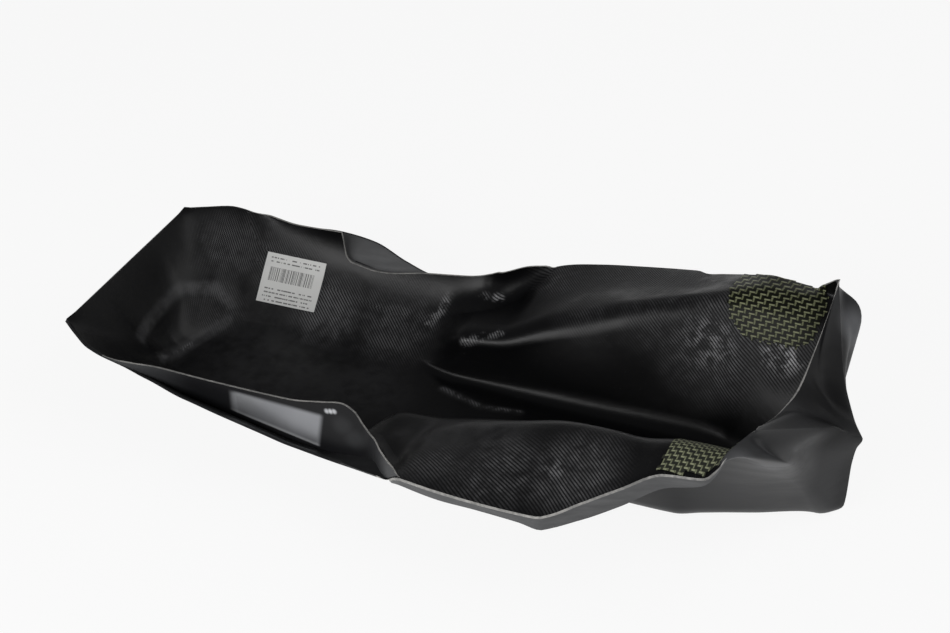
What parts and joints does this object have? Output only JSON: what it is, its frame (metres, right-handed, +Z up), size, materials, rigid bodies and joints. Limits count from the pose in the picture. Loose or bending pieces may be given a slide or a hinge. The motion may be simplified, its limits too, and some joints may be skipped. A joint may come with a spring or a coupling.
{
  "type": "motorbike lower fairing",
  "caption": "Boat-shaped lower fairing for a motorbike: a thin moulded belly pan with a flat floor, flared wings, a pointed prow and a blank label inside.",
  "frame": {"origin": "on the ground below the middle of the pan's overall length and width", "axes": "+X along the pan from the tail to the nose, +Y to the side whose wall has the cut-out, +Z up"},
  "size_m": [0.777, 0.4282, 0.175],
  "materials": {
    "laminate": "gloss woven inside, satin outside",
    "hybrid_cloth": "woven, satin",
    "label_stock": "matte"
  },
  "bodies": {
    "root": {"pan_shell": "laminate", "far_patch": "hybrid_cloth", "near_patch": "hybrid_cloth", "label": "label_stock"}
  },
  "joints": []
}
